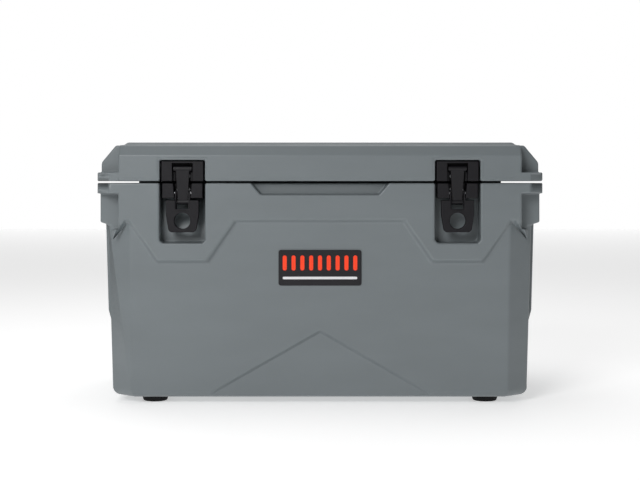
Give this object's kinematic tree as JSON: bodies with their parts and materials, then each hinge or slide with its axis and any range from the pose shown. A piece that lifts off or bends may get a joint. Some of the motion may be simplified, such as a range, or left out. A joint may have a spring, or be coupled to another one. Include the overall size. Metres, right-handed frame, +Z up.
{
  "type": "hard cooler",
  "caption": "Rotomoulded hard cooler with a rear-hinged insulated lid, draw latches, swing end handles, rubber feet and a screw drain.",
  "frame": {"origin": "on the floor, at the middle of the overall box", "axes": "+Z up, front towards -Y, the drain's end towards +X"},
  "size_m": [0.775, 0.445, 0.454],
  "materials": {
    "shell": "fine orange-peel, satin",
    "foam": "rigid foam",
    "gasket_rubber": "satin",
    "foot_rubber": "matt",
    "latch_plastic": "fine grain, satin",
    "latch_link": "satin",
    "handle_plastic": "satin",
    "grip_rubber": "ribbed",
    "steel": "turned",
    "drain_plastic": "satin",
    "badge_black": "semi-gloss",
    "badge_orange": "printed",
    "badge_white": "printed"
  },
  "bodies": {
    "tub": {"badge_bars": "badge_orange", "badge_line": "badge_white", "badge_plate": "badge_black", "drain_bushing": "drain_plastic", "foot_front_left": "foot_rubber", "foot_front_right": "foot_rubber", "foot_rear_left": "foot_rubber", "foot_rear_right": "foot_rubber", "foot_screws": "steel", "handle_pins_left": "steel", "handle_pins_right": "steel", "hinge_pin_left": "steel", "hinge_pin_right": "steel", "latch_base_left": "latch_plastic", "latch_base_right": "latch_plastic", "latch_base_screws_left": "steel", "latch_base_screws_right": "steel", "latch_lever_pins_left": "steel", "latch_lever_pins_right": "steel", "tub_foam": "foam", "tub_liner": "shell", "tub_shell": "shell"},
    "lid": {"latch_keeper_left": "latch_plastic", "latch_keeper_right": "latch_plastic", "latch_keeper_screws_left": "steel", "latch_keeper_screws_right": "steel", "lid_foam": "foam", "lid_gasket": "gasket_rubber", "lid_shell": "shell"},
    "left_lever": {"latch_lever_left": "latch_plastic"},
    "left_link_pin": {"latch_link_pin_left": "steel"},
    "left_link": {"latch_link_left": "latch_link"},
    "left_handle": {"handle_bail_left": "handle_plastic", "handle_grip_left": "grip_rubber"},
    "right_lever": {"latch_lever_right": "latch_plastic"},
    "right_link_pin": {"latch_link_pin_right": "steel"},
    "right_link": {"latch_link_right": "latch_link"},
    "right_handle": {"handle_bail_right": "handle_plastic", "handle_grip_right": "grip_rubber"},
    "drain_seal": {"drain_seal": "gasket_rubber"},
    "drain_plug": {"drain_plug": "drain_plastic"}
  },
  "joints": [
    {"name": "lid_hinge", "type": "hinge", "parent": "tub", "child": "lid", "pos_m": [0, 0.2115, 0.3849], "axis": [-1, 0, 0], "range_deg": [0, 95]},
    {"name": "left_lever_pull", "type": "hinge", "parent": "tub", "child": "left_lever", "pos_m": [-0.2372, -0.212, 0.366], "axis": [-1, 0, 0], "range_deg": [0, 95]},
    {"name": "left_link_pin_turn", "type": "hinge", "parent": "left_lever", "child": "left_link_pin", "pos_m": [-0.2372, -0.2085, 0.3507], "axis": [1, 0, 0], "range_deg": [0, 95]},
    {"name": "left_link_swing", "type": "hinge", "parent": "left_link_pin", "child": "left_link", "pos_m": [-0.2372, -0.2085, 0.3507], "axis": [1, 0, 0], "range_deg": [-8, 18]},
    {"name": "left_handle_swing", "type": "hinge", "parent": "tub", "child": "left_handle", "pos_m": [-0.365, -0.0115, 0.29], "axis": [0, 1, 0], "range_deg": [0, 95]},
    {"name": "right_lever_pull", "type": "hinge", "parent": "tub", "child": "right_lever", "pos_m": [0.2372, -0.212, 0.366], "axis": [-1, 0, 0], "range_deg": [0, 95]},
    {"name": "right_link_pin_turn", "type": "hinge", "parent": "right_lever", "child": "right_link_pin", "pos_m": [0.2372, -0.2085, 0.3507], "axis": [1, 0, 0], "range_deg": [0, 95]},
    {"name": "right_link_swing", "type": "hinge", "parent": "right_link_pin", "child": "right_link", "pos_m": [0.2372, -0.2085, 0.3507], "axis": [1, 0, 0], "range_deg": [-8, 18]},
    {"name": "right_handle_swing", "type": "hinge", "parent": "tub", "child": "right_handle", "pos_m": [0.365, -0.0115, 0.29], "axis": [0, -1, 0], "range_deg": [0, 95]},
    {"name": "drain_plug_travel", "type": "slide", "parent": "tub", "child": "drain_seal", "axis": [1, 0, 0], "range_m": [0, 0.014]},
    {"name": "drain_plug_turn", "type": "hinge", "parent": "drain_seal", "child": "drain_plug", "pos_m": [0.35, -0.0115, 0.065], "axis": [1, 0, 0], "range_deg": [0, 1250]}
  ],
  "couplings": [
    {"joint": "left_link_pin_turn", "follows": "left_lever_pull", "ratio": 1},
    {"joint": "right_link_pin_turn", "follows": "right_lever_pull", "ratio": 1},
    {"joint": "drain_plug_travel", "follows": "drain_plug_turn", "m_per_rad": 0.00063662}
  ]
}
